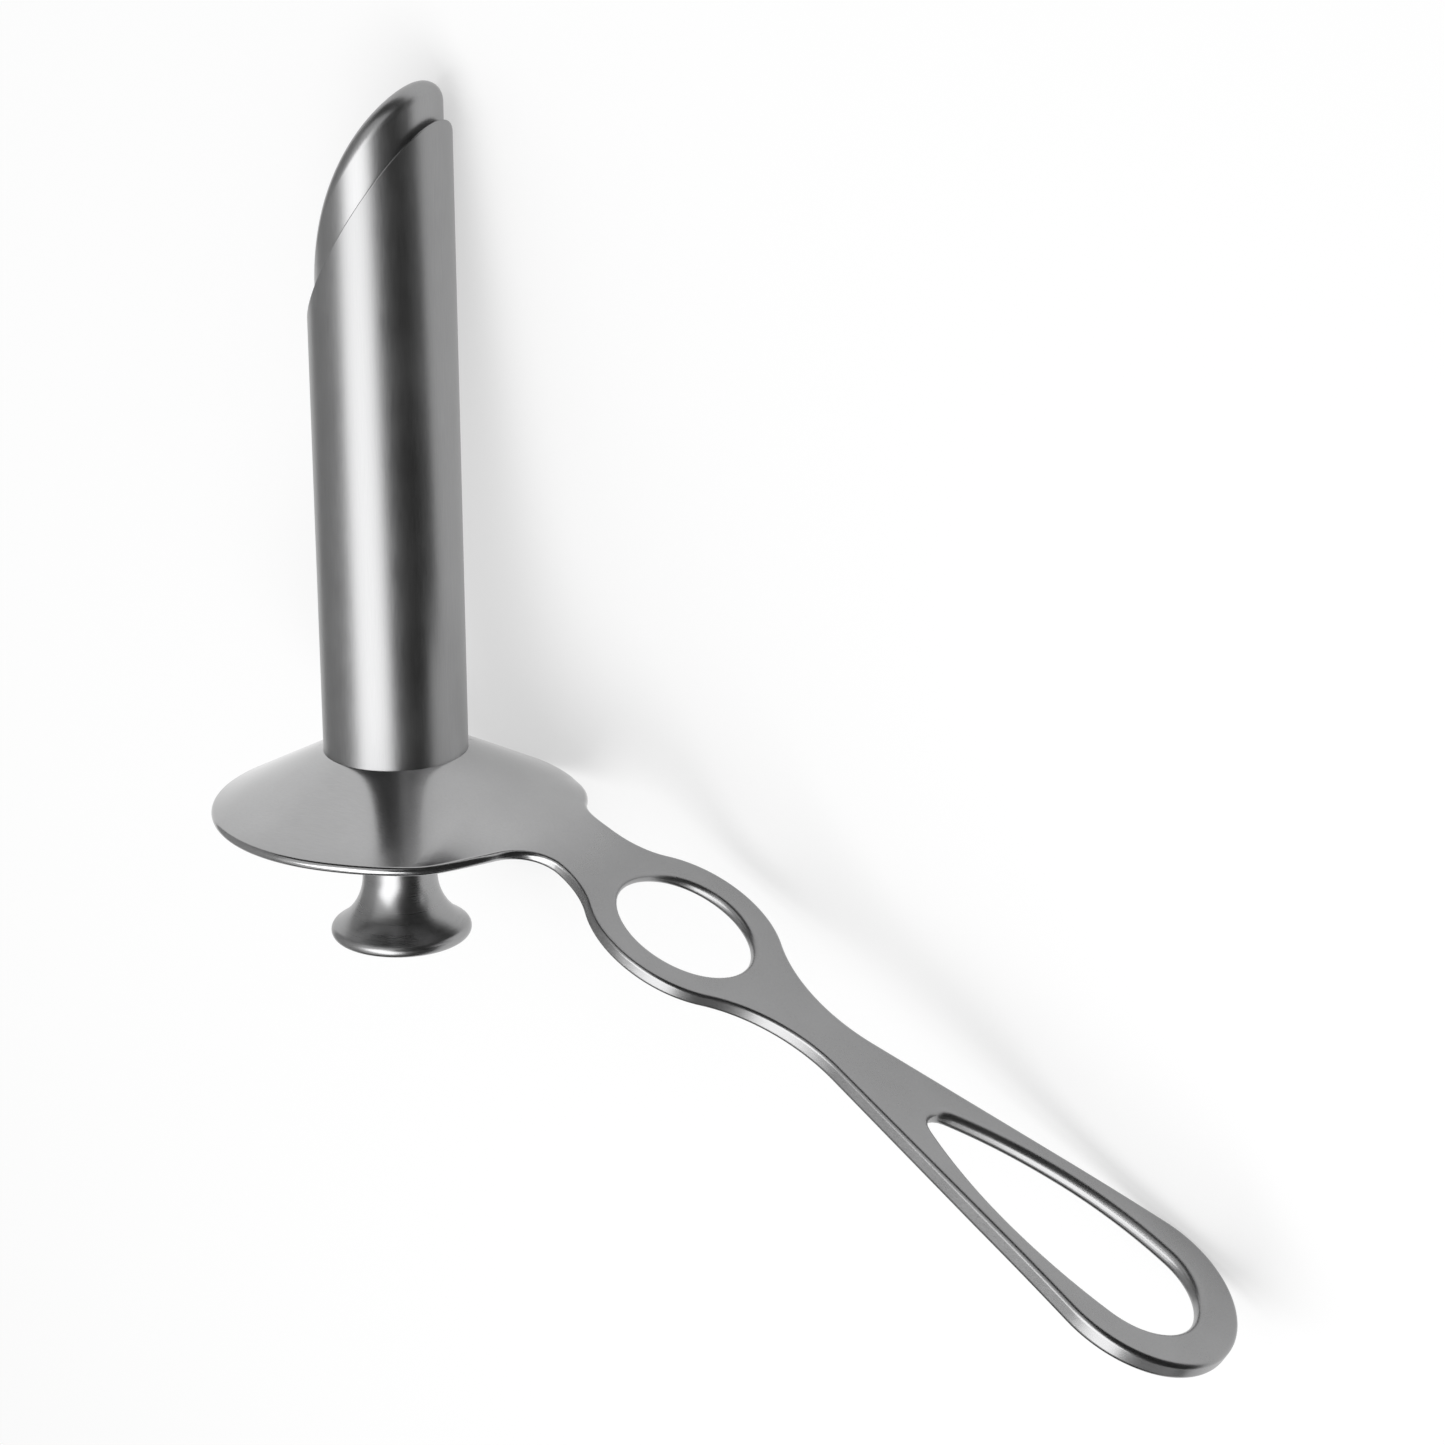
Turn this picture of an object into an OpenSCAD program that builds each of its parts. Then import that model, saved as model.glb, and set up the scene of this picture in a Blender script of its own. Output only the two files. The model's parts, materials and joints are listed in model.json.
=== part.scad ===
// Tubular anal speculum with its obturator, in polished stainless steel.
// The instrument is drawn upright: the tube's axis is Z with the nose up, the top of
// the flange meets the tube at zero, and the handle leaves towards +X.
// At the end every piece is laid down as the instrument comes to rest on a table.

/* [Tube] */
// Outside diameter of the tube
tube_d = 23; // [18:0.5:30]
// Wall of the tube
tube_wall = 1; // [0.8:0.1:1.5]
// Height above the flange at which the slanted mouth crosses the tube's axis
mouth_mid = 84.1; // [78:0.1:110]
// Angle between the slanted mouth and the tube's axis
mouth_angle = 33.4; // [30:0.1:50]
// Length of tube that stands out below the throat of the flange
tube_stub = 1; // [0.8:0.1:2]

/* [Flange] */
// Diameter of the flange
flange_d = 59; // [50:1:70]
// Height that the flange falls from the tube to its rim
flange_drop = 9.4; // [7:0.2:11]
// Thickness of the flange, measured square to its face
flange_t = 1.7; // [1.4:0.1:2]

/* [Handle] */
// Angle of the handle below the plane that is square to the tube
handle_angle = 28.1; // [22:0.1:34]
// Height of the handle's top line where it would cross the tube's axis
handle_rise = 8.2; // [7.8:0.1:8.8]
// Distance of the neck from the tube's axis, measured level
neck_x = 35.2; // [34:0.1:38]
// Width of the neck between the flange and the finger ring
neck_w = 16.7; // [13:0.1:20]
// Thickness of the strip at the neck
neck_t = 2.1; // [1.8:0.1:2.6]
// Thickness of the strip in the paddle
paddle_t = 3.3; // [2.6:0.1:4]
// Drop of the paddle's tip below the straight strip
tip_curl = 1.5; // [0:0.1:3]

/* [Finger ring] */
// Distance of the ring's centre from the tube's axis, measured along the strip
ring_s = 60.3; // [59:0.1:64]
// Outside diameter of the ring
ring_d = 33.5; // [31:0.1:36]
// Diameter of the finger hole
finger_hole_d = 23; // [20:0.1:25]

/* [Paddle] */
// Width of the waist between the ring and the paddle
waist_w = 10.3; // [8:0.1:13]
// Radius of the hollow curve on each side of the waist
waist_r = 24; // [18:0.5:28]
// Distance of the centre of the paddle's round end, measured along the strip
end_s = 148.4; // [140:0.2:155]
// Width of the paddle's round end
end_w = 34; // [30:0.5:38]
// Width of the band of metal round the end of the teardrop opening
end_band = 6.7; // [5:0.1:8]
// Radius of the wide end of the teardrop opening
drop_end_r = 10.7; // [8:0.1:11.5]
// Radius of the narrow end of the teardrop opening
drop_tip_r = 3.4; // [2.4:0.1:4]
// Distance of the centre of the narrow end, measured along the strip
drop_tip_s = 112.2; // [108:0.2:120]
// Amount by which the sides of the teardrop opening bow out from straight
drop_bow = 2.2; // [0.8:0.1:3]

/* [Obturator head] */
// Radial gap between the head and the bore of the tube
head_gap = 0.3; // [0.3:0.05:0.6]
// Height above the flange at which the cylindrical head begins
head_start = 46; // [35:1:56]
// Height of the nose above the tube's mouth, on the axis
nose_proud = 13; // [9:0.1:16]
// Angle between the domed slant of the nose and the tube's axis, where it crosses the axis
nose_angle = 31.2; // [28:0.1:38]
// Radius of the rounded edge of the nose
nose_edge_r = 2.2; // [1:0.1:3]

/* [Obturator shaft and knob] */
// Diameter of the rod
rod_d = 8; // [6:0.5:9]
// Depth to which the rod enters the head and the knob's pilot
rod_seat = 10; // [6:1:12]
// Radial clearance of the pilot that centres the knob in the tube
pilot_gap = 0.06; // [0.03:0.01:0.09]
// Length of the pilot
pilot_l = 14; // [13:1:18]
// Amount by which the stop shoulder is wider than the bore, on each side
shoulder_over = 1.5; // [1:0.1:2]
// Thickness of the stop shoulder
shoulder_t = 2.3; // [1.5:0.1:3]
// Diameter of the stem under the shoulder
stem_d = 11.2; // [9:0.2:13]
// Diameter of the knob
knob_d = 22.8; // [19:0.2:27]
// Length of the stem and knob below the shoulder
knob_l = 27.4; // [24:0.5:34]
// Radius of the hollow flare of the knob
flare_r = 9; // [7:0.1:9.5]
// Radius of the rounded edge of the knob
knob_edge_r = 2.2; // [1.5:0.1:3]

/* [Fits] */
// Radial gap that the braze fills between the tube and the flange
braze_gap = 0.05; // [0.02:0.01:0.1]
// Radial gap of the rod in its two sockets
rod_gap = 0.05; // [0.02:0.01:0.1]

/* [Hidden] */
$fn = 120;

steel = [0.74, 0.75, 0.76];
steel_dark = [0.66, 0.67, 0.69];

// Tube and its slanted mouth
tube_r = tube_d / 2;
bore_r = tube_r - tube_wall;
mouth_slope = 1 / tan(mouth_angle);
mouth_top = mouth_mid + tube_r * mouth_slope;

// Flange: a cone of sheet with a rounded rim
rim_r = flange_d / 2;
cone_angle = atan(flange_drop / (rim_r - tube_r));
flange_vt = flange_t / cos(cone_angle);
throat_z = -flange_vt;
tube_end_z = throat_z - tube_stub;
function cone_top(r) = -flange_drop * (r - tube_r) / (rim_r - tube_r);
function cone_low(r) = cone_top(r) - flange_vt;
rim_c = [rim_r - flange_t / 2, cone_top(rim_r - flange_t / 2) - flange_vt / 2];
rim_half = [sin(cone_angle), cos(cone_angle)] * flange_t / 2;

// A curve that eases from 0 to 1, flat at both ends
function ease(u) = let (v = min(1, max(0, u))) v * v * (3 - 2 * v);
function mix(a, b, w) = a * (1 - w) + b * w;

// Strip seen from the side: its straight line, the curl of its tip, its thickness
strip_slope = tan(handle_angle);
end_r = end_w / 2;
tip_x = (end_s + end_r) * cos(handle_angle);
// From here on the strip has its full thickness and begins to curl down
paddle_start = 0.68;
paddle_x = mix(neck_x, tip_x, paddle_start);
function curl(x) = tip_curl * pow(max(0, x - paddle_x) / (tip_x - paddle_x), 2);
function strip_top(x) = handle_rise - strip_slope * x - curl(x);
function strip_t(x) = mix(neck_t, paddle_t, min(1, max(0, (x - neck_x) / (paddle_x - neck_x))));
function strip_low(x) = strip_top(x) - strip_t(x) / cos(handle_angle);
curl_steps = 14;
strip_wide = end_w + ring_d;

// Outline of the strip, seen square to its face
neck_half = neck_w / 2;
neck_s = neck_x / cos(handle_angle);
ring_r = ring_d / 2;
waist_half = waist_w / 2;
// Hollow curve between neck and ring: it touches the neck's side and the ring
ring_run = ring_s - neck_s;
neck_curve_r = (pow(ring_run, 2) + pow(neck_half, 2) - pow(ring_r, 2)) / (2 * (ring_r - neck_half));
neck_curve_c = [neck_s, neck_half + neck_curve_r];
// Hollow curve of the waist: it touches the ring, and is lowest at the waist
waist_s = ring_s + sqrt(pow(ring_r + waist_r, 2) - pow(waist_half + waist_r, 2));
waist_c = [waist_s, waist_half + waist_r];
// Straight side of the paddle: it touches the hollow curve and the round end
side_span = [end_s, 0] - waist_c;
side_angle = asin((end_r + waist_r) / norm(side_span)) - atan(-side_span[1] / side_span[0]);
side_out = [sin(side_angle), -cos(side_angle)];

// Teardrop opening: two large circles that touch a small one at each end
drop_end_s = end_s + end_r - end_band - drop_end_r;
drop_run = drop_end_s - drop_tip_s;
drop_side_r = (pow(drop_run, 2) - pow(drop_end_r - drop_tip_r, 2)) / (8 * drop_bow);
drop_far = drop_side_r - drop_tip_r;
drop_near = drop_side_r - drop_end_r;
drop_side_s = drop_tip_s
    + (pow(drop_far, 2) - pow(drop_near, 2) + pow(drop_run, 2)) / (2 * drop_run);
drop_side_n = sqrt(pow(drop_near, 2) - pow(drop_end_s - drop_side_s, 2));
drop_cut_lo = drop_tip_s - drop_tip_r * (drop_side_s - drop_tip_s) / drop_far;
drop_cut_hi = drop_end_s + drop_end_r * (drop_end_s - drop_side_s) / drop_near;

// Root of the handle, where the plate rises from the cone of the flange to the flat strip.
// Its sides are fillets that leave the rim and touch the sides of the neck. It fills a bay
// that is cut in the flange, and laps over the bay's edge by the root's lap.
root_reach = 11;
root_narrow = 0.55;
root_curve_r = (pow(neck_x, 2) + pow(neck_half, 2) - pow(rim_r, 2)) / (2 * (rim_r - neck_half));
root_touch = [neck_x, neck_half + root_curve_r] * rim_r / (rim_r + root_curve_r);
root_in_x = rim_r - root_reach;
root_in_half = root_narrow * root_touch[1];
root_rows = 18;
root_cols = 12;
root_sink = 0.04;
root_lap = 1;
function root_half(x) = x < root_touch[0]
    ? mix(root_in_half, root_touch[1] - root_sink,
        (x - root_in_x) / (root_touch[0] - root_in_x))
    : neck_half + root_curve_r - sqrt(pow(root_curve_r, 2) - pow(neck_x - x, 2)) - root_sink;
function root_lift(x, v) = ease((x - root_in_x) / (neck_x - root_in_x))
    * (1 - (1 - ease((x - root_touch[0]) / (neck_x - root_touch[0]))) * ease(abs(v)));
function root_top(x, v) = mix(cone_top(norm([x, v * root_half(x)])), strip_top(x), root_lift(x, v))
    - root_sink;
function root_low(x, v) = root_top(x, v) + 2 * root_sink
    - mix(flange_vt, strip_t(x) / cos(handle_angle), root_lift(x, v));

// Obturator head: its domed slant runs out along the side of the head at the heel. The edge
// between them is a ball rolled along a line inside both, and its centre is a nose_core.
head_r = bore_r - head_gap;
nose_mid = mouth_mid + nose_proud;
nose_dome_r = head_r / (1 - cos(nose_angle));
nose_c = [nose_dome_r - head_r, nose_mid - nose_dome_r * sin(nose_angle)];
nose_turn = 5;
nose_sink = 0.02;
nose_sides = 360 / nose_turn;
ball_sides = 24;
function nose_core(a) = let (x = (head_r - nose_edge_r) * cos(a))
    [x, (head_r - nose_edge_r) * sin(a),
        nose_c[1] + sqrt(max(0, pow(nose_dome_r - nose_edge_r, 2) - pow(x - nose_c[0], 2)))];

// Obturator rod, stop shoulder and knob, all on the tube's axis
rod_r = rod_d / 2;
pilot_r = bore_r - pilot_gap;
shoulder_r = bore_r + shoulder_over;
shoulder_z = tube_end_z;
pilot_z = shoulder_z + pilot_l;
stem_z = shoulder_z - shoulder_t;
stem_r = stem_d / 2;
knob_z = stem_z - knob_l;
knob_edge_c = [knob_d / 2 - knob_edge_r, knob_z + knob_edge_r];
flare_out = stem_r + flare_r - knob_edge_c[0];
flare_c = [stem_r + flare_r,
    knob_edge_c[1] + sqrt(pow(flare_r + knob_edge_r, 2) - pow(flare_out, 2))];

// Where it touches the table. Each function gives the lowest point of one rim against
// the upward direction u, and all three together give the direction that is up at rest.
function unit(v) = v / norm(v);
function rim_low(u) = let (flat = unit([u[0], u[1]]))
    [-rim_c[0] * flat[0], -rim_c[0] * flat[1], rim_c[1]] - u * flange_t / 2;
nose_line = [for (a = [0 : 2 : 358]) nose_core(a)];
function far_of(points, u) = let (reach = [for (p = points) p * u])
    points[search(max(reach), reach)[0]];
function nose_far(u) = far_of(nose_line, u) + u * nose_edge_r;
end_x = end_s * cos(handle_angle);
end_along = unit([1, 0, (strip_top(end_x + 1) - strip_top(end_x - 1)) / 2]);
end_c = [end_x, 0, strip_top(end_x)];
end_drop = [0, 0, strip_top(end_x) - strip_low(end_x)];
function end_far(u) = let (flat = unit([u * end_along, u[1]]))
    end_c + end_r * (flat[0] * end_along + [0, flat[1], 0]);
function rest_up(u, steps) = steps == 0 ? u
    : let (a = rim_low(u), n = unit(cross(nose_far(-u) - a, end_far(-u) - a)))
        rest_up(n[1] < 0 ? n : -n, steps - 1);
up = rest_up([0, -1, 0], 6);

// The table's frame: up is Z, the tube points along Y and the handle along X
table_y = unit([0, 0, 1] - up[2] * up);
table_x = cross(table_y, up);
function flange_reach(d) = rim_c * [norm([d[0], d[1]]), d[2]] + flange_t / 2;
function knob_reach(d) = knob_edge_c * [norm([d[0], d[1]]), d[2]] + knob_edge_r;
function end_reach(d) = end_far(d) * d + max(0, -end_drop * d);
function reach(d) = max(flange_reach(d), knob_reach(d), end_reach(d), nose_far(d) * d);
rest_x = (reach(-table_x) - reach(table_x)) / 2;
rest_y = (reach(-table_y) - reach(table_y)) / 2;
rest_z = -rim_low(up) * up;

module at_rest() {
    multmatrix([concat(table_x, rest_x), concat(table_y, rest_y), concat(up, rest_z), [0, 0, 0, 1]])
        children();
}

// A flat shape drawn in X and Z, made thick in both directions across the instrument
module across(width) {
    rotate([90, 0, 0]) linear_extrude(width, center = true) children();
}

// Drawn tube, cut on the slant at the mouth
module tube() {
    cut = 4 * tube_d;
    color(steel) at_rest() difference() {
        translate([0, 0, tube_end_z]) cylinder(r = tube_r, h = mouth_top - tube_end_z);
        translate([0, 0, tube_end_z - 1]) cylinder(r = bore_r, h = mouth_top - tube_end_z + 2);
        translate([0, 0, mouth_mid]) rotate([0, mouth_angle - 90, 0])
            translate([-cut / 2, -cut / 2, 0]) cube(cut);
    }
}

// Section of the flange, from the tube to the rounded rim
module flange_section() {
    inner = tube_r + braze_gap;
    polygon([
        [inner, cone_top(inner)], rim_c + rim_half, rim_c, rim_c - rim_half,
        [inner, cone_low(inner)]
    ]);
    translate(rim_c) circle(d = flange_t);
}

// Half of the strip's outline: neck, ring, waist and paddle
module strip_half() {
    difference() {
        polygon([
            [neck_s - 2 * root_lap, 0], [neck_s - 2 * root_lap, neck_half], [neck_s, neck_half],
            neck_curve_c, [ring_s, 0], waist_c,
            waist_c + waist_r * side_out, [end_s, 0] - end_r * side_out, [end_s, 0]
        ]);
        translate(neck_curve_c) circle(neck_curve_r);
        translate(waist_c) circle(waist_r);
    }
}

module teardrop() {
    intersection() {
        translate([drop_side_s, drop_side_n]) circle(drop_side_r);
        translate([drop_side_s, -drop_side_n]) circle(drop_side_r);
        translate([drop_cut_lo, -drop_end_r * 2])
            square([drop_cut_hi - drop_cut_lo, drop_end_r * 4]);
    }
    translate([drop_tip_s, 0]) circle(drop_tip_r);
    translate([drop_end_s, 0]) circle(drop_end_r);
}

module strip_outline() {
    difference() {
        union() {
            strip_half();
            mirror([0, 1]) strip_half();
            translate([ring_s, 0]) circle(ring_r);
            translate([end_s, 0]) circle(end_r);
        }
        translate([ring_s, 0]) circle(d = finger_hole_d);
        teardrop();
    }
}

// The strip's outline, cut through a side view that carries its thickness and its curl
module strip() {
    start_x = neck_x - root_lap;
    curl_run = tip_x + end_r / 2 - paddle_x;
    xs = concat(start_x, [for (i = [0 : curl_steps]) paddle_x + curl_run * i / curl_steps]);
    deep = 4 * end_r;
    intersection() {
        across(strip_wide) polygon(concat(
            [for (x = xs) [x, strip_top(x)]],
            [for (i = [len(xs) - 1 : -1 : 0]) [xs[i], strip_low(xs[i])]]
        ));
        translate([0, 0, handle_rise]) rotate([0, handle_angle, 0])
            translate([0, 0, -deep / 2]) linear_extrude(deep) strip_outline();
    }
}

// Bay in the flange that the root fills
module root_bay() {
    half = [root_in_half - root_lap, root_touch[1] - root_lap];
    translate([0, 0, cone_low(flange_d)]) linear_extrude(flange_d) polygon([
        [root_in_x + root_lap, -half[0]], [root_touch[0], -half[1]], [flange_d, -half[1]],
        [flange_d, half[1]], [root_touch[0], half[1]], [root_in_x + root_lap, half[0]]
    ]);
}

// The root as a lofted solid: rows along the handle, columns across it
module root() {
    rows = [for (i = [0 : root_rows]) mix(root_in_x, neck_x, i / root_rows)];
    cols = [for (j = [0 : root_cols]) 2 * j / root_cols - 1];
    across_n = root_cols + 1;
    low = across_n * (root_rows + 1);
    function quad(a, b, c, d) = [[a, b, c], [a, c, d]];
    polyhedron(
        points = concat(
            [for (x = rows, v = cols) [x, v * root_half(x), root_top(x, v)]],
            [for (x = rows, v = cols) [x, v * root_half(x), root_low(x, v)]]
        ),
        faces = concat(
            [for (i = [0 : root_rows - 1], j = [0 : root_cols - 1])
                let (a = i * across_n + j, b = a + across_n)
                    each concat(quad(a, a + 1, b + 1, b),
                        quad(low + a, low + b, low + b + 1, low + a + 1))],
            [for (i = [0 : root_rows - 1]) let (a = i * across_n, b = a + across_n, c = a + root_cols)
                each concat(quad(low + a, a, b, low + b),
                    quad(low + c + across_n, c + across_n, c, low + c))],
            [for (j = [0 : root_cols - 1]) let (a = j, b = root_rows * across_n + j)
                each concat(quad(low + a + 1, a + 1, a, low + a),
                    quad(low + b, b, b + 1, low + b + 1))]
        )
    );
}

// Flange and handle are one forging: the cone sweeps into the strip
module flange_handle() {
    color(steel) at_rest() {
        difference() {
            rotate_extrude() flange_section();
            root_bay();
        }
        root();
        strip();
    }
}

// The nose as a skin drawn over the ball at its places along the edge
module nose() {
    hull() {
        translate([0, 0, nose_c[1] - nose_edge_r])
            cylinder(r = head_r - nose_sink, h = nose_edge_r, $fn = nose_sides);
        for (a = [0 : nose_turn : 360 - nose_turn])
            translate(nose_core(a)) rotate(a) sphere(nose_edge_r - nose_sink, $fn = ball_sides);
    }
}

// Solid head that fills the mouth of the tube, with the nose above it
module obturator_head() {
    color(steel_dark) at_rest() difference() {
        union() {
            translate([0, 0, head_start]) cylinder(r = head_r, h = nose_c[1] - head_start);
            nose();
        }
        translate([0, 0, head_start - 1]) cylinder(r = rod_r + rod_gap, h = rod_seat + 1);
    }
}

// Rod that joins the head to the knob
module obturator_rod() {
    low = pilot_z - rod_seat;
    color(steel) at_rest() translate([0, 0, low])
        cylinder(r = rod_r, h = head_start + rod_seat - low);
}

// Turned knob: a pilot inside the tube, a shoulder that stops at the tube's end,
// a stem, and a flare that ends in a rounded edge
module obturator_knob() {
    color(steel) at_rest() difference() {
        rotate_extrude() {
            difference() {
                polygon([
                    [0, knob_z], [knob_edge_c[0], knob_z], knob_edge_c, flare_c,
                    [stem_r, flare_c[1]], [stem_r, stem_z], [0, stem_z]
                ]);
                translate(flare_c) circle(flare_r);
            }
            translate(knob_edge_c) circle(knob_edge_r);
            translate([0, stem_z]) square([shoulder_r, shoulder_t]);
            translate([0, stem_z]) square([pilot_r, pilot_z - stem_z]);
        }
        translate([0, 0, pilot_z - rod_seat]) cylinder(r = rod_r + rod_gap, h = rod_seat + 1);
    }
}

tube();
flange_handle();
obturator_head();
obturator_rod();
obturator_knob();
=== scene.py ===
import json
import bpy
import numpy as np
from mathutils import Matrix, Vector
from mathutils.geometry import delaunay_2d_cdt


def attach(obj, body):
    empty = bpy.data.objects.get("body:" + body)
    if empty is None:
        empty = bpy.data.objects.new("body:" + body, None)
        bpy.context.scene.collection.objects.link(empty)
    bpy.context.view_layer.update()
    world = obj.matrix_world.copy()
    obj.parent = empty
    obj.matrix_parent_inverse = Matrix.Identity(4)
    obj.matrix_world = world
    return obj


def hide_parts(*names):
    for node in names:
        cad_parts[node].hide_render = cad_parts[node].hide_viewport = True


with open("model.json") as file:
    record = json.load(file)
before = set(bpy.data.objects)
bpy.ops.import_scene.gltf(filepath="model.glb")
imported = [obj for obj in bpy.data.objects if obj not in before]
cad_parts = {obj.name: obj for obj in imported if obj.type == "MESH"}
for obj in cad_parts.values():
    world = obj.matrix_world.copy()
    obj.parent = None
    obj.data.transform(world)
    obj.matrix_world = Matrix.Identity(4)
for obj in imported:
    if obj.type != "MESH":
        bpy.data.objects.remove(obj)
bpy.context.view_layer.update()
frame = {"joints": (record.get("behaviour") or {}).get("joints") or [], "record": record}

# The tube.
# It is drawn from stainless steel with a wall of 1 mm. Its mouth is cut on the slant, and
# the cut edge is rounded off. The other end passes through the flange, where it is brazed.


def placed(origin, x_axis, y_axis, z_axis):
    """The matrix that puts these three axes at this origin."""
    return Matrix.Translation(origin) @ Matrix((x_axis, y_axis, z_axis)).transposed().to_4x4()


# The instrument lies on its side. Its own axes come from the end of the knob, the way the
# obturator slides and the finger hole: z runs up the tube, x to the handle, both from the
# middle of the flange's top. Sizes are in millimetres in these axes.
mounts = {mount["name"]: Vector(mount["pos_m"]) for mount in frame["record"]["mounts"]}
knob_below_flange = 32.618
up_tube = -Vector(frame["joints"][0]["axis"]).normalized()
flange_top = mounts["knob_end"] + up_tube * knob_below_flange / 1000
to_ring = mounts["finger_hole"] - flange_top
to_handle = (to_ring - to_ring.dot(up_tube) * up_tube).normalized()
to_far_side = up_tube.cross(to_handle)
lying = placed(flange_top, to_handle, to_far_side, up_tube)

line_detail, cloud_detail, clouds_a_metre, cloud_share = 3, 2, 90, 0.5
mottle_low, mottle_high = 0.3, 0.7
tone_spread, dullness_spread = 0.03, 0.05
blue_in_dark, blue_in_light = 0.002, 0.003
line_depth_m, line_strength = 0.000012, 0.25


def shader_node(tree, kind, joined, **settings):
    """A new shader node. joined gives its inputs, each as a value or another node's output."""
    node = tree.nodes.new("ShaderNode" + kind)
    for name, value in settings.items():
        setattr(node, name, value)
    for name, value in joined.items():
        if isinstance(value, bpy.types.NodeSocket):
            tree.links.new(value, node.inputs[name])
        else:
            node.inputs[name].default_value = value
    return node


def steel(name, tone, dullness, lines_a_metre, turned=False, zone=None):
    """Stainless steel with fine polishing lines over faint clouds.

    lines_a_metre counts the lines met along x, y and z. On a turned piece x is the distance
    from the axis, and y stays 0. zone is (full_r, end_r, lighter, glossier): so much lighter
    and glossier within full_r of the tube's axis, which fades out at end_r."""
    metal = bpy.data.materials.new(name)
    metal.use_nodes = True
    tree = metal.node_tree
    where = shader_node(
        tree, "Mapping",
        {
            "Vector": shader_node(tree, "TexCoord", {}).outputs["Object"],
            "Location": lying.translation,
            "Rotation": lying.to_euler(),
        },
        vector_type="TEXTURE",
    ).outputs[0]
    line_place = where
    if turned or zone:
        apart = shader_node(tree, "SeparateXYZ", {0: where}).outputs
        flat = shader_node(tree, "CombineXYZ", {"X": apart["X"], "Y": apart["Y"]}).outputs[0]
        radius = shader_node(tree, "VectorMath", {0: flat}, operation="LENGTH").outputs["Value"]
    if turned:
        line_place = shader_node(tree, "CombineXYZ", {"X": radius, "Z": apart["Z"]}).outputs[0]
    stretched = shader_node(tree, "Mapping", {"Vector": line_place, "Scale": lines_a_metre}).outputs[0]
    lines = shader_node(
        tree, "TexNoise", {"Vector": stretched, "Scale": 1, "Detail": line_detail}
    ).outputs["Fac"]
    clouds = shader_node(
        tree, "TexNoise", {"Vector": where, "Scale": clouds_a_metre, "Detail": cloud_detail}
    ).outputs["Fac"]
    mottle = shader_node(tree, "Mix", {"Factor": cloud_share, "A": lines, "B": clouds}).outputs["Result"]
    gloss = shader_node(tree, "MapRange", {
        "Value": mottle, "From Min": mottle_low, "From Max": mottle_high,
        "To Min": dullness - dullness_spread, "To Max": dullness + dullness_spread,
    }).outputs["Result"]
    shade = shader_node(tree, "ValToRGB", {"Fac": mottle})
    dark, light = tone - tone_spread, tone + tone_spread
    shade.color_ramp.elements[0].position = mottle_low
    shade.color_ramp.elements[0].color = (dark, dark, dark + blue_in_dark, 1)
    shade.color_ramp.elements[1].position = mottle_high
    shade.color_ramp.elements[1].color = (light, light, light + blue_in_light, 1)
    colour = shade.outputs["Color"]
    # Painted light and shade: the zone adds to the colour, lighter for painted light on the flange and
    # darker for painted shade in the bore
    if zone:
        full_r, end_r, lighter, glossier = zone
        within = shader_node(
            tree, "MapRange", {"Value": radius, "From Min": end_r / 1000, "From Max": full_r / 1000},
            interpolation_type="SMOOTHSTEP",
        ).outputs["Result"]
        colour = shader_node(
            tree, "Mix", {"Factor": within, 6: colour, 7: (lighter, lighter, lighter, 1)},
            data_type="RGBA", blend_type="ADD",
        ).outputs[2]
        gloss = shader_node(
            tree, "Math", {0: within, 1: -glossier, 2: gloss}, operation="MULTIPLY_ADD"
        ).outputs[0]
    scratches = shader_node(
        tree, "Bump", {"Height": lines, "Strength": line_strength, "Distance": line_depth_m}
    ).outputs["Normal"]
    skin = tree.nodes["Principled BSDF"]
    skin.inputs["Metallic"].default_value = 1
    tree.links.new(colour, skin.inputs["Base Color"])
    tree.links.new(gloss, skin.inputs["Roughness"])
    tree.links.new(scratches, skin.inputs["Normal"])
    return metal


def steel_piece(name, points, faces, normals, metal, node, body):
    """A piece from points in the instrument's own axes, laid where the part lies."""
    mesh = bpy.data.meshes.new(name)
    mesh.from_pydata([lying @ Vector(p) for p in np.asarray(points) / 1000], [], faces)
    mesh.shade_smooth()
    if normals is not None:
        turn = lying.to_3x3()
        mesh.normals_split_custom_set_from_vertices([turn @ Vector(n) for n in np.asarray(normals)])
    mesh.materials.append(metal)
    piece = bpy.data.objects.new(name, mesh)
    bpy.context.scene.collection.objects.link(piece)
    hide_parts(node)
    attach(piece, body)


corner_steps, flat_beside_corner = 6, 0.12


def rounded(corners):
    """A line of (r, z, radius) corners with an arc at each radius and a short flat beside it."""
    line = []
    for i, (r, z, radius) in enumerate(corners):
        here = np.array([r, z], float)
        if radius == 0:
            line.append(here)
            continue
        before = np.array(corners[i - 1][:2], float) - here
        after = np.array(corners[(i + 1) % len(corners)][:2], float) - here
        before /= np.linalg.norm(before)
        after /= np.linalg.norm(after)
        half = np.arccos(np.clip(before @ after, -1, 1)) / 2
        run = radius / np.tan(half)
        centre = here + (before + after) / np.linalg.norm(before + after) * radius / np.sin(half)
        start, end = here + before * run - centre, here + after * run - centre
        sweep = np.arccos(np.clip(start @ end / radius**2, -1, 1))
        line.append(centre + start + before * flat_beside_corner)
        for k in range(corner_steps + 1):
            part = k / corner_steps
            spoke = np.sin((1 - part) * sweep) * start + np.sin(part * sweep) * end
            line.append(centre + spoke / np.sin(sweep))
        line.append(centre + end + after * flat_beside_corner)
    return np.array(line)


def ring_faces(rings, around, closed=False):
    """Four-sided faces between rings of points that each go once round."""
    faces = []
    for i in range(rings if closed else rings - 1):
        low, high = i * around, (i + 1) % rings * around
        for j in range(around):
            k = (j + 1) % around
            faces.append((low + j, low + k, high + k, high + j))
    return faces


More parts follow.
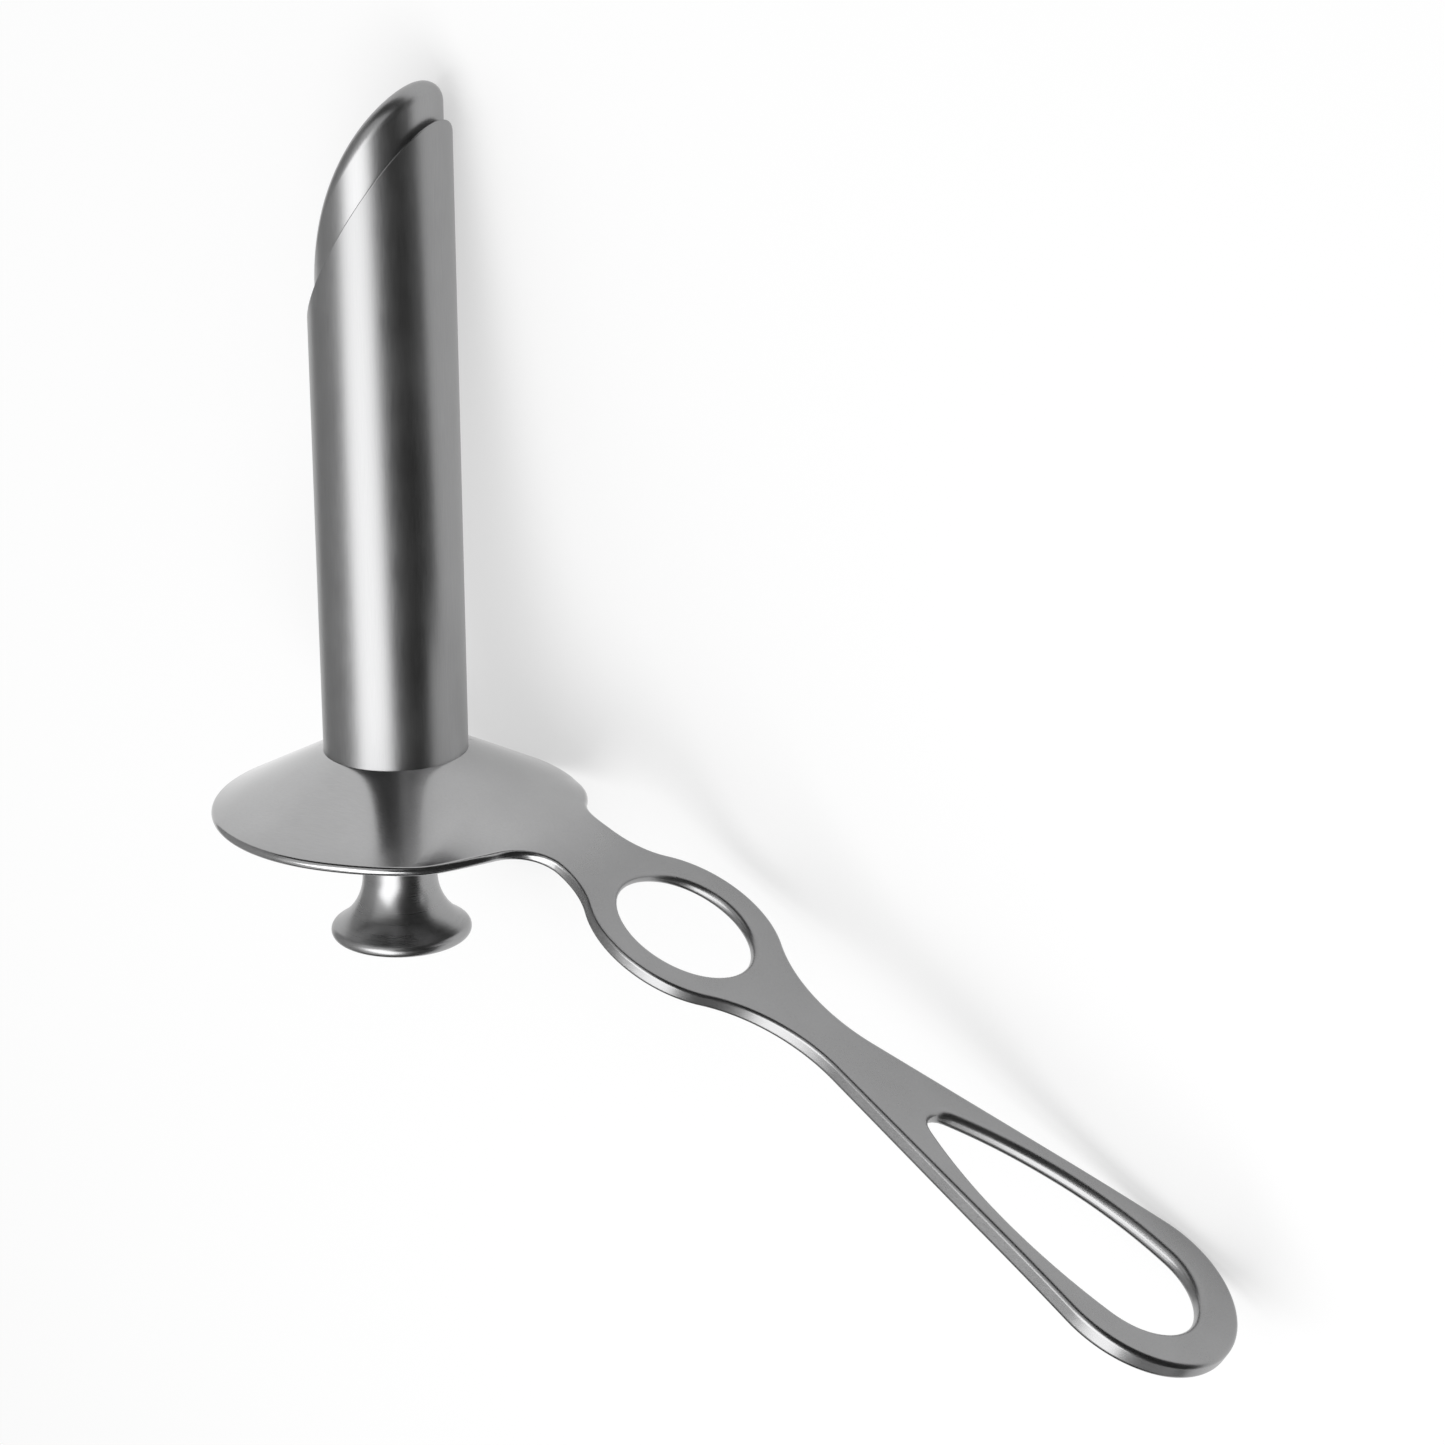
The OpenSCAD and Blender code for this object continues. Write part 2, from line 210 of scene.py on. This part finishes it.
tube_r, tube_bore_r = 11.5, 10.5
tube_low_end, mouth_mid, mouth_angle = -2.918, 84.1, np.radians(33.4)
mouth_edge_r, tube_end_edge_r = 0.18, 0.2
tube_sides, tube_levels, plain_wall_inset = 160, 24, 2

tube_walls = []
for turn in np.linspace(0, 2 * np.pi, tube_sides, endpoint=False):
    rise = np.cos(turn) / np.tan(mouth_angle)
    outer_top, inner_top = mouth_mid + tube_r * rise, mouth_mid + tube_bore_r * rise
    wall_low = tube_low_end + plain_wall_inset
    wall_section = rounded(
        [(tube_bore_r, tube_low_end, tube_end_edge_r), (tube_r, tube_low_end, tube_end_edge_r)]
        + [(tube_r, z, 0) for z in np.linspace(wall_low, outer_top - plain_wall_inset, tube_levels)]
        + [(tube_r, outer_top, mouth_edge_r), (tube_bore_r, inner_top, mouth_edge_r)]
        + [(tube_bore_r, z, 0) for z in np.linspace(inner_top - plain_wall_inset, wall_low, tube_levels)]
    )
    tube_walls.append([(r * np.cos(turn), r * np.sin(turn), z) for r, z in wall_section])
tube_rings = np.array(tube_walls).transpose(1, 0, 2)

# The outside is polished along the tube, and the bore is duller. The bore's colour is also darker, as
# painted shade inside the tube
# Painted shade: the bore's colour is darkened by 0.2, and its roughness is raised by 0.1
bore_shade_and_dullness = (10.6, 11.2, -0.2, -0.1)
tube_metal = steel("drawn tube, satin polish, painted shade in the bore", 0.31, 0.34, (7000, 7000, 260), zone=bore_shade_and_dullness)
steel_piece(
    "tube_drawn", tube_rings.reshape(-1, 3), ring_faces(len(tube_rings), tube_sides, closed=True),
    None, tube_metal, "tube", "speculum",
)

# The flange and the handle.
# They are one forging in stainless steel: a shallow funnel with a rounded rim runs out into
# a flat strip with a finger ring, a waist and an open paddle. All its edges are rounded over.

# x is measured square to the tube, and s along the slope of the strip
flange_r, flange_drop, flange_t = 29.5, 9.4, 1.7
strip_angle, strip_rise = np.radians(28.1), 8.2
neck_x, neck_half, neck_t = 35.2, 8.35, 2.1
paddle_share, paddle_t, tip_curl = 0.68, 3.3, 1.5
ring_s, ring_r, hole_r = 60.3, 16.75, 11.5
waist_half, waist_curve_r = 5.15, 24.0
end_s, end_r = 148.4, 17.0
drop_tip_s, drop_tip_r, drop_end_r, end_band, drop_bow = 112.2, 3.4, 10.7, 6.7, 2.2
root_in_x, root_in_half, root_side_lift = 18.5, 7.62, 0.55
root_corner_r, root_corner_start = 30.3, np.radians(80)
tube_seat_gap = 0.02

cone_fall = flange_drop / (flange_r - tube_r)
cone_t_upright = flange_t * np.hypot(1, cone_fall)
strip_fall = np.tan(strip_angle)
tip_x = (end_s + end_r) * np.cos(strip_angle)
paddle_x = neck_x + paddle_share * (tip_x - neck_x)

# A fillet on each side leaves the rim at touch and runs into the side of the neck
fillet_r = (neck_x**2 + neck_half**2 - root_corner_r**2) / (2 * (root_corner_r - neck_half))
fillet_c = np.array([neck_x, neck_half + fillet_r])
touch = fillet_c * root_corner_r / (root_corner_r + fillet_r)


def ease(u):
    """A smooth step from 0 to 1."""
    u = np.clip(u, 0, 1)
    return u * u * (3 - 2 * u)


def strip_thickness(x):
    return neck_t + (paddle_t - neck_t) * np.clip((x - neck_x) / (paddle_x - neck_x), 0, 1)


def curl_down(x):
    """How far the end of the paddle curls below the straight strip."""
    return tip_curl * (np.maximum(0, x - paddle_x) / (tip_x - paddle_x))**2


def strip_share(x, y):
    """How far the plate has risen from the cone of the flange to the strip of the handle."""
    past_rim = ease((x - touch[0]) / (neck_x - touch[0]))
    opening_out = np.clip((x - root_in_x) / (touch[0] - root_in_x), 0, 1)
    half = root_in_half + (touch[1] - root_in_half) * opening_out
    sideways = ease(np.abs(y) / half) * (1 - root_side_lift)
    return ease((x - root_in_x) / (neck_x - root_in_x)) * (1 - (1 - past_rim) * sideways)


def plate_thickness(x, y):
    share = strip_share(x, y)
    return flange_t * (1 - share) + strip_thickness(x) * share


def plate_middle(x, y):
    """Height of the middle of the plate, from the flange to the tip of the handle."""
    cone = -cone_fall * (np.hypot(x, y) - tube_r) - cone_t_upright / 2
    half_upright = strip_thickness(x) / 2 / np.cos(strip_angle)
    strip = strip_rise - strip_fall * x - curl_down(x) - half_upright
    share = strip_share(x, y)
    return cone * (1 - share) + strip * share


def plate_normal(x, y):
    """The way the plate faces, from its slope over a fine step each side."""
    d = 0.02
    slope_x = (plate_middle(x + d, y) - plate_middle(x - d, y)) / (2 * d)
    slope_y = (plate_middle(x, y + d) - plate_middle(x, y - d)) / (2 * d)
    n = np.stack([-slope_x, -slope_y, np.ones_like(slope_x)], -1)
    return n / np.linalg.norm(n, axis=-1, keepdims=True)


outline_step, fill_step, edge_steps = 0.8, 0.95, 7


def arc(centre, radius, start, end):
    """Points along an arc from one angle to another, evenly spaced."""
    count = max(3, int(abs(end - start) * radius / outline_step))
    a = np.linspace(start, end, count, endpoint=False)
    return np.stack([centre[0] + radius * np.cos(a), centre[1] + radius * np.sin(a)], -1)


def straight(a, b):
    count = max(2, int(np.linalg.norm(np.subtract(b, a)) / outline_step))
    return np.linspace(a, b, count, endpoint=False)


def turn_of(vector):
    return np.arctan2(vector[1], vector[0])


def from_strip(points):
    """Points of the strip's outline, from along and across the strip to the instrument's x and y."""
    s, n = np.array(points).T
    x = s * np.cos(strip_angle)
    below = strip_thickness(x) / 2 + curl_down(x) * np.cos(strip_angle)
    return np.stack([x - below * np.sin(strip_angle), n], -1)


# One side of the outline, from the far side of the rim to the tip of the paddle
rim_part = arc((0, 0), flange_r, -np.pi, -turn_of(touch)) * [1, -1]
rim_turn = np.arctan2(rim_part[:, 1], rim_part[:, 0])
swell = ease((root_corner_start - rim_turn) / (root_corner_start - turn_of(touch)))
rim_part *= (1 + (root_corner_r / flange_r - 1) * swell)[:, None]
fillet_part = arc(fillet_c, fillet_r, turn_of(touch - fillet_c), -np.pi / 2)
neck_s = neck_x / np.cos(strip_angle)
hollow_r = ((ring_s - neck_s)**2 + neck_half**2 - ring_r**2) / (2 * (ring_r - neck_half))
hollow_c = np.array([neck_s, neck_half + hollow_r])
to_hollow = turn_of(hollow_c - [ring_s, 0])
waist_s = ring_s + np.sqrt((ring_r + waist_curve_r)**2 - (waist_half + waist_curve_r)**2)
waist_c = np.array([waist_s, waist_half + waist_curve_r])
to_waist = turn_of(waist_c - [ring_s, 0])
span = np.array([end_s, 0]) - waist_c
side_turn = np.arcsin((end_r + waist_curve_r) / np.linalg.norm(span)) - np.arctan(-span[1] / span[0])
side_out = np.array([np.sin(side_turn), -np.cos(side_turn)])
strip_part = from_strip(np.concatenate([
    arc(hollow_c, hollow_r, -np.pi / 2, to_hollow - np.pi),
    arc((ring_s, 0), ring_r, to_hollow, to_waist),
    arc(waist_c, waist_curve_r, to_waist - np.pi, turn_of(side_out)),
    straight(waist_c + waist_curve_r * side_out, np.array([end_s, 0]) - end_r * side_out),
    arc((end_s, 0), end_r, turn_of(-side_out), 0),
    [[end_s + end_r, 0]],
]))
one_side = np.concatenate([rim_part, fillet_part, strip_part])
outline = np.concatenate([one_side[::-1], one_side[1:-1] * [1, -1]])

# The finger hole, and the teardrop between a small arc, a large one and a bowed side
finger_edge = from_strip(arc((ring_s, 0), hole_r, 2 * np.pi, 0))
drop_end_s = end_s + end_r - end_band - drop_end_r
drop_run = drop_end_s - drop_tip_s
drop_side_r = (drop_run**2 - (drop_end_r - drop_tip_r)**2) / (8 * drop_bow)
drop_far, drop_near = drop_side_r - drop_tip_r, drop_side_r - drop_end_r
drop_side_s = drop_tip_s + (drop_far**2 - drop_near**2 + drop_run**2) / (2 * drop_run)
drop_side_n = np.sqrt(drop_near**2 - (drop_end_s - drop_side_s)**2)
drop_side_c = np.array([drop_side_s, -drop_side_n])
to_drop_tip = turn_of(np.array([drop_tip_s, 0]) - drop_side_c)
to_drop_end = turn_of(np.array([drop_end_s, 0]) - drop_side_c)
drop_half = np.concatenate([
    arc((drop_tip_s, 0), drop_tip_r, np.pi, to_drop_tip),
    arc(drop_side_c, drop_side_r, to_drop_tip, to_drop_end),
    arc((drop_end_s, 0), drop_end_r, to_drop_end, 0),
    [[drop_end_s + drop_end_r, 0]],
])
drop_edge = from_strip(np.concatenate([drop_half, drop_half[1:-1][::-1] * [1, -1]]))


def on_middle(flat):
    return np.column_stack([flat, plate_middle(flat[:, 0], flat[:, 1])])


def facing_and_thickness(flat):
    """The way the plate faces at each point, and its thickness there."""
    return plate_normal(flat[:, 0], flat[:, 1]), plate_thickness(flat[:, 0], flat[:, 1])[:, None]


def rounded_edge(loop, share):
    """The rounded edge along a closed outline, as rings of points, their normals and the line
    where the flat face starts. share is the edge's radius for each millimetre of thickness."""
    middle = on_middle(loop)
    upward, t = facing_and_thickness(loop)
    outward = np.cross(np.roll(middle, -1, 0) - np.roll(middle, 1, 0), upward)
    outward /= np.linalg.norm(outward, axis=1, keepdims=True)
    radius = t * share
    quarter = np.linspace(np.pi / 2, 0, edge_steps)
    rings, normals = [], []
    for bend, flat_side in ((quarter, 1), (quarter - np.pi / 2, -1)):
        for a in bend:
            out = radius * (np.cos(a) - 1)
            up = flat_side * (t / 2 - radius) + radius * np.sin(a)
            rings.append(middle + out * outward + up * upward)
            normals.append(np.cos(a) * outward + np.sin(a) * upward)
    return rings, normals, (middle - radius * outward)[:, :2]


def tube_seat():
    """The square edge of the plate round the tube, given as rounded_edge gives its own."""
    loop = arc((0, 0), tube_r + tube_seat_gap, 2 * np.pi, 0)
    upward, t = facing_and_thickness(loop)
    rings = [on_middle(loop) + side * upward * t / 2 for side in (1, -1)]
    for ring in rings:
        ring[:, :2] = loop
    return rings, [upward, -upward], loop


def inside(points, loop):
    """Which points lie inside a closed outline."""
    x, y = points[:, :1], points[:, 1:]
    x1, y1 = loop[:, 0], loop[:, 1]
    x2, y2 = np.roll(x1, -1), np.roll(y1, -1)
    across = (y1 > y) != (y2 > y)
    hits = across & (x < (x2 - x1) * (y - y1) / np.where(y2 == y1, 1, y2 - y1) + x1)
    return hits.sum(1) % 2 == 1


def on_plate(points, loops):
    """Which points lie inside the first outline and outside the others."""
    found = inside(points, loops[0])
    for loop in loops[1:]:
        found &= ~inside(points, loop)
    return found


# The rim is rounded in full, just short of where its two arcs would meet. The rounding runs
# out into the smaller one of the handle's edges.
full_round, just_short, edge_share, hole_edge_share = 0.5, 0.999, 0.27, 0.46
edge_change_x, edge_change_run = touch[0] - 2, 14
blend = ease((outline[:, :1] - edge_change_x) / edge_change_run)
outline_share = (full_round * (1 - blend) + edge_share * blend) * just_short

plate_points, plate_normals, plate_faces = [], [], []
top_rows, low_rows, fill_loops = [], [], []
start = 0
for rings, normals, fill_loop in (
    rounded_edge(outline, outline_share),
    rounded_edge(finger_edge, hole_edge_share),
    rounded_edge(drop_edge, hole_edge_share),
    tube_seat(),
):
    count, low_start = len(fill_loop), start + (len(rings) - 1) * len(fill_loop)
    plate_points += rings
    plate_normals += normals
    plate_faces += [tuple(start + v for v in face[::-1]) for face in ring_faces(len(rings), count)]
    top_rows.append(np.arange(start, start + count))
    low_rows.append(np.arange(low_start, low_start + count))
    fill_loops.append(fill_loop)
    start = low_start + count

# The two faces are filled with the same net of points, one over the other
edge_clearance, join_within = 0.5 * fill_step, 1e-7
xs = np.arange(-flange_r, tip_x, fill_step)
ys = np.arange(-flange_r, flange_r, fill_step)
net = np.stack(np.meshgrid(xs, ys, indexing="ij"), -1).reshape(-1, 2)
net = net[on_plate(net, fill_loops)]
edge_points = np.concatenate(fill_loops)
net = net[[np.min(np.sum((edge_points - p)**2, 1)) > edge_clearance**2 for p in net]]
border, first = [], 0
for loop in fill_loops:
    border += [(first + i, first + (i + 1) % len(loop)) for i in range(len(loop))]
    first += len(loop)
flat_points = np.concatenate([edge_points, net])
filled = delaunay_2d_cdt([Vector(p) for p in flat_points], border, [], 0, join_within)
triangles = np.array(filled[2])
triangles = triangles[on_plate(flat_points[triangles].mean(1), fill_loops)]

net_up, net_t = facing_and_thickness(net)
plate_points += [on_middle(net) + net_up * net_t / 2, on_middle(net) - net_up * net_t / 2]
plate_normals += [net_up, -net_up]
top_index = np.concatenate(top_rows + [np.arange(start, start + len(net))])
low_index = np.concatenate(low_rows + [np.arange(start + len(net), start + 2 * len(net))])
plate_faces += [tuple(int(v) for v in row) for row in top_index[triangles]]
plate_faces += [tuple(int(v) for v in row[::-1]) for row in low_index[triangles]]

# It is polished along the handle, and the flange is glossier. The flange's colour is also lighter, as
# painted light for the bright surroundings it reflects
# Painted light: the flange's colour is lightened by 0.125, and its roughness is lowered by 0.17
flange_light_and_gloss = (24, 42, 0.125, 0.17)
plate_metal = steel("forged strip, satin polish, painted light on the flange", 0.31, 0.3, (420, 6000, 6000), zone=flange_light_and_gloss)
steel_piece(
    "flange_and_handle", np.concatenate(plate_points), plate_faces, np.concatenate(plate_normals),
    plate_metal, "flange_handle", "speculum",
)

# The obturator's head.
# It is turned from bar to slide in the tube, then its nose is ground to a domed slant that
# stands out of the mouth, with all its edges rounded over so that it goes in smoothly.

head_r, head_low = 10.2, 46.0
nose_mid, nose_slant = 97.1, np.radians(31.2)
nose_edge_r, head_end_edge_r = 2.2, 0.6
rod_r, rod_socket, rod_gap = 4.0, 10.0, 0.05
head_sides, head_end_steps, head_levels, nose_edge_steps, dome_rows = 144, 6, 12, 10, 36
first_level = 0.1

dome_r = head_r / (1 - np.cos(nose_slant))
dome_x, dome_z = dome_r - head_r, nose_mid - dome_r * np.sin(nose_slant)
turns = np.linspace(0, 2 * np.pi, head_sides, endpoint=False)
radial = np.stack([np.cos(turns), np.sin(turns), 0 * turns], -1)


def dome_height(x, radius):
    return dome_z + np.sqrt(np.maximum(0, radius**2 - (x - dome_x)**2))


# The end that takes the rod, and the side
head_points, head_normals = [radial * (rod_r + rod_gap) + [0, 0, head_low]], [0 * radial - [0, 0, 1]]
for a in np.linspace(-np.pi / 2, 0, head_end_steps):
    out, up = head_r - head_end_edge_r * (1 - np.cos(a)), head_end_edge_r * (1 + np.sin(a))
    head_points.append(radial * out + [0, 0, head_low + up])
    head_normals.append(radial * np.cos(a) + [0, 0, np.sin(a)])
ball_line = radial * (head_r - nose_edge_r)
ball_line[:, 2] = dome_height(ball_line[:, 0], dome_r - nose_edge_r)
side_low = head_low + head_end_edge_r
for part in np.linspace(first_level, 1, head_levels):
    side = radial * head_r
    side[:, 2] = side_low + part * (ball_line[:, 2] - side_low)
    head_points.append(side)
    head_normals.append(radial)

# The edge between the side and the slant is a ball rolled along a line inside both. At the
# low end the dome runs into the side with no edge, and the two normals are one.
slant_n = np.stack([ball_line[:, 0] - dome_x, 0 * turns, ball_line[:, 2] - dome_z], -1)
slant_n /= np.linalg.norm(slant_n, axis=1, keepdims=True)
bend = np.arccos(np.clip(np.sum(radial * slant_n, 1), -1, 1))[:, None]
least_bend, least_sine = 1e-3, 1e-6
for k in range(1, nose_edge_steps + 1):
    part = k / nose_edge_steps
    n = np.sin((1 - part) * bend) * radial + np.sin(part * bend) * slant_n
    n = np.where(bend < least_bend, radial, n / np.maximum(np.sin(bend), least_sine))
    n /= np.linalg.norm(n, axis=1, keepdims=True)
    head_points.append(ball_line + nose_edge_r * n)
    head_normals.append(n)

# The domed slant closes in rings to its middle
slant_edge = head_points[-1]
for k in range(1, dome_rows):
    x, y = slant_edge[:, 0] * (1 - k / dome_rows), slant_edge[:, 1] * (1 - k / dome_rows)
    z = dome_height(x, dome_r)
    head_points.append(np.stack([x, y, z], -1))
    head_normals.append(np.stack([x - dome_x, 0 * turns, z - dome_z], -1) / dome_r)
dome_middle = np.array([0, 0, dome_height(0, dome_r)])
last_ring, middle_index = (len(head_points) - 1) * head_sides, len(head_points) * head_sides
head_faces = ring_faces(len(head_points), head_sides)
head_faces += [(last_ring + j, last_ring + (j + 1) % head_sides, middle_index) for j in range(head_sides)]
head_points.append([dome_middle])
head_normals.append([(dome_middle - [dome_x, 0, dome_z]) / dome_r])
head_metal = steel("turned head, fine polish", 0.34, 0.33, (6000, 6000, 300))
steel_piece(
    "obturator_head_turned", np.concatenate(head_points), head_faces, np.concatenate(head_normals),
    head_metal, "obturator_head", "obturator",
)

# The obturator's rod.
# It is plain ground stainless bar with the edges of its ends rounded off. It is pressed into
# the head at one end and into the knob at the other.

rod_low, rod_high = 1.082, head_low + rod_socket
rod_edge_r, rod_end_share = 0.5, 0.4
rod_sides, rod_levels, rod_level_inset = 64, 10, 3


def turned_piece(name, corners, sides, metal, node, body):
    """A lathe-turned piece from its outline of (r, z, radius) corners, solid to the axis."""
    line = rounded(corners)
    around = np.linspace(0, 2 * np.pi, sides, endpoint=False)
    points = np.array([[(r * np.cos(a), r * np.sin(a), z) for a in around] for r, z in line])
    last_ring = (len(line) - 1) * sides
    low_middle, high_middle = len(line) * sides, len(line) * sides + 1
    faces = ring_faces(len(line), sides)
    faces += [(low_middle, (j + 1) % sides, j) for j in range(sides)]
    faces += [(high_middle, last_ring + j, last_ring + (j + 1) % sides) for j in range(sides)]
    points = np.concatenate([points.reshape(-1, 3), [[0, 0, line[0][1]], [0, 0, line[-1][1]]]])
    steel_piece(name, points, faces, None, metal, node, body)


rod_corners = [(rod_end_share * rod_r, rod_low, 0), (rod_r, rod_low, rod_edge_r)]
for z in np.linspace(rod_low + rod_level_inset, rod_high - rod_level_inset, rod_levels):
    rod_corners.append((rod_r, z, 0))
rod_corners += [(rod_r, rod_high, rod_edge_r), (rod_end_share * rod_r, rod_high, 0)]
rod_metal = steel("ground rod", 0.34, 0.24, (300, 0, 5000), turned=True)
turned_piece(
    "obturator_rod_ground", rod_corners, rod_sides, rod_metal,
    "obturator_rod", "obturator",
)

# The obturator's knob.
# It is turned from bar in one piece: a pilot that centres it in the tube, a shoulder that
# stops against the tube's end, a stem, and a flared thumb rest with a rounded rim.

pilot_r, pilot_high, pilot_root_r, pilot_edge_r = 10.44, 11.082, 0.15, 0.5
shoulder_r, shoulder_low, shoulder_edge_r = 12.0, -5.218, 0.35
stem_r, stem_root_r, knob_low = 6.0, 0.5, -32.1
flare_r, knob_r, knob_edge_r = 9.6, 11.3, 1.2
knob_sides, knob_edge_steps, flare_steps = 144, 22, 26
knob_end_shares, pilot_end_share = (0.3, 0.7), 0.5
pilot_levels, stem_level = (0, 5), 1

# The rounded rim runs straight into the hollow curve of the flare
edge_c = np.array([knob_r - knob_edge_r, knob_low + knob_edge_r])
flare_x = stem_r + flare_r
flare_z = edge_c[1] + np.sqrt((flare_r + knob_edge_r)**2 - (flare_x - edge_c[0])**2)
flare_c = np.array([flare_x, flare_z])
meet = turn_of(edge_c - flare_c)
knob_corners = [(share * knob_r, knob_low, 0) for share in knob_end_shares]
for a in np.linspace(-np.pi / 2, meet + np.pi, knob_edge_steps):
    knob_corners.append((*(edge_c + knob_edge_r * np.array([np.cos(a), np.sin(a)])), 0))
for a in np.linspace(meet + 2 * np.pi, np.pi, flare_steps)[1:]:
    knob_corners.append((*(flare_c + flare_r * np.array([np.cos(a), np.sin(a)])), 0))
knob_corners += [
    (stem_r, flare_z + stem_level, 0),
    (stem_r, shoulder_low, stem_root_r),
    (shoulder_r, shoulder_low, shoulder_edge_r),
    (shoulder_r, tube_low_end, shoulder_edge_r),
    (pilot_r, tube_low_end, pilot_root_r),
]
knob_corners += [(pilot_r, z, 0) for z in pilot_levels]
knob_corners += [(pilot_r, pilot_high, pilot_edge_r), (pilot_end_share * pilot_r, pilot_high, 0)]
knob_metal = steel("turned knob, bright polish", 0.35, 0.3, (300, 0, 5000), turned=True)
turned_piece(
    "obturator_knob_turned", knob_corners, knob_sides, knob_metal,
    "obturator_knob", "obturator",
)

# The studio: table, walls, cards, lamp and camera.
# The instrument lies on a wide white table in a white room, under one large soft lamp. Cards
# round it show only in the steel, and the camera looks at it as the photograph does.

scene = bpy.context.scene
scene.view_settings.view_transform = "Standard"


def white_to_the_eye(tree, plain, seen):
    """Camera, mirror and glass rays see one shader, and the rest of the light sees the other."""
    rays = shader_node(tree, "LightPath", {}).outputs
    eye_or_mirror = shader_node(
        tree, "Math", {0: rays["Is Camera Ray"], 1: rays["Is Glossy Ray"]}, operation="MAXIMUM"
    ).outputs[0]
    any_of_them = shader_node(
        tree, "Math", {0: eye_or_mirror, 1: rays["Is Transmission Ray"]}, operation="MAXIMUM"
    ).outputs[0]
    return shader_node(tree, "MixShader", {"Fac": any_of_them, 1: plain, 2: seen}).outputs[0]


def matt_paint(name, grey):
    paint = bpy.data.materials.new(name)
    paint.use_nodes = True
    face = paint.node_tree.nodes["Principled BSDF"]
    face.inputs["Base Color"].default_value = (grey, grey, grey, 1)
    face.inputs["Roughness"].default_value = 1
    face.inputs["Specular IOR Level"].default_value = 0
    return paint


def flat_sheet(name, width, height, paint):
    """A rectangle about its own middle that belongs to the studio."""
    w, h = width / 2, height / 2
    mesh = bpy.data.meshes.new(name)
    mesh.from_pydata([(-w, -h, 0), (w, -h, 0), (w, h, 0), (-w, h, 0)], [], [(0, 1, 2, 3)])
    mesh.materials.append(paint)
    sheet = bpy.data.objects.new(name, mesh)
    scene.collection.objects.link(sheet)
    return sheet


wall_light, wall_seen_light, wall_seen_grey = 0.62, 1, (0.8, 0.8, 0.8, 1)
room = bpy.data.worlds.new("studio room")
scene.world = room
room.use_nodes = True
walls = room.node_tree.nodes["Background"]
walls.inputs["Color"].default_value = (1, 1, 1, 1)
walls.inputs["Strength"].default_value = wall_light
seen_walls = shader_node(
    room.node_tree, "Background", {"Color": wall_seen_grey, "Strength": wall_seen_light}
)
room.node_tree.links.new(
    white_to_the_eye(room.node_tree, walls.outputs[0], seen_walls.outputs[0]),
    room.node_tree.nodes["World Output"].inputs["Surface"],
)

table_size, table_grey, table_glow, glow_share = 6.0, 0.8, 1.1, 0.5
white_table = matt_paint("white table", table_grey)
table_tree = white_table.node_tree
matt_white = table_tree.nodes["Principled BSDF"].outputs[0]
glow = shader_node(table_tree, "Emission", {"Strength": table_glow}).outputs[0]
lit_white = shader_node(table_tree, "MixShader", {"Fac": glow_share, 1: matt_white, 2: glow}).outputs[0]
table_tree.links.new(
    white_to_the_eye(table_tree, matt_white, lit_white),
    table_tree.nodes["Material Output"].inputs["Surface"],
)
flat_sheet("table", table_size, table_size, white_table)


def card(name, grey, centre, facing, width, height):
    """A flat card at centre that faces a point, and shows only in the steel."""
    board = flat_sheet(name, width, height, matt_paint(name, grey))
    board.location = centre
    board.rotation_euler = (Vector(facing) - Vector(centre)).to_track_quat("Z", "Y").to_euler()
    board.visible_camera = False
    board.visible_shadow = False
    board.visible_diffuse = False


# The first two and the low one shade the tube's side towards the handle, the grey one its
# other side. The last two put the dark wedge on the flange and the dark middle on the knob.
card("dark card on the handle's side", 0.04, (0.45, -0.1, 0.4), (0.05, -0.1, 0.4), 1.3, 0.8)
card("dark cloth beside the picture", 0.04, (0.29, -0.1, 0.001), (0.29, -0.1, 1), 0.34, 1.3)
card("low grey card beside the tube", 0.22, (-0.002, 0.06, 0.011), (-0.06, 0.06, 0.011), 0.14, 0.022)
card("grey card on the far side", 0.45, (-0.5, -0.1, 0.36), (0, -0.1, 0.36), 1.3, 0.72)
card("dark card beyond the nose", 0.05, (0, 0.55, 0.2), (0, 0, 0.1), 1.5, 0.36)
card("dark card before the knob", 0.04, (-0.06, -0.4, 0.13), (-0.06, 0, 0.03), 0.5, 0.26)

softbox = bpy.data.lights.new("soft lamp", "AREA")
softbox.shape = "RECTANGLE"
softbox.size, softbox.size_y = 0.56, 0.8
softbox.energy = 3.6
lamp = bpy.data.objects.new("soft lamp", softbox)
scene.collection.objects.link(lamp)
lamp_place, lamp_aim = Vector((0.09, -0.12, 0.7)), Vector((0, 0, 0.025))
lamp.location = lamp_place
lamp.rotation_euler = (lamp_place - lamp_aim).to_track_quat("Z", "Y").to_euler()

# The photograph was fitted in the instrument's own axes, with the tube upright
handle_toward_camera = np.radians(29.5)
camera_height_angle, camera_tilt = np.radians(18.95), np.radians(0.27)
camera_right, camera_back, camera_up = 51.9, 621.7, 217.1
focal_pixels, photo_pixels, sensor_mm = 4144, 1445, 36
right = to_handle * np.cos(handle_toward_camera) + to_far_side * np.sin(handle_toward_camera)
away = -to_handle * np.sin(handle_toward_camera) + to_far_side * np.cos(handle_toward_camera)
eye = flange_top + (right * camera_right - away * camera_back + up_tube * camera_up) / 1000
look = away * np.cos(camera_height_angle) - up_tube * np.sin(camera_height_angle)
head_up = away * np.sin(camera_height_angle) + up_tube * np.cos(camera_height_angle)
tilted_up = head_up * np.cos(camera_tilt) + right * np.sin(camera_tilt)
lens = bpy.data.cameras.new("camera")
lens.sensor_width = sensor_mm
lens.lens = focal_pixels / photo_pixels * sensor_mm
camera = bpy.data.objects.new("camera", lens)
scene.collection.objects.link(camera)
camera.matrix_world = placed(eye, look.cross(tilted_up), tilted_up, -look)
scene.camera = camera
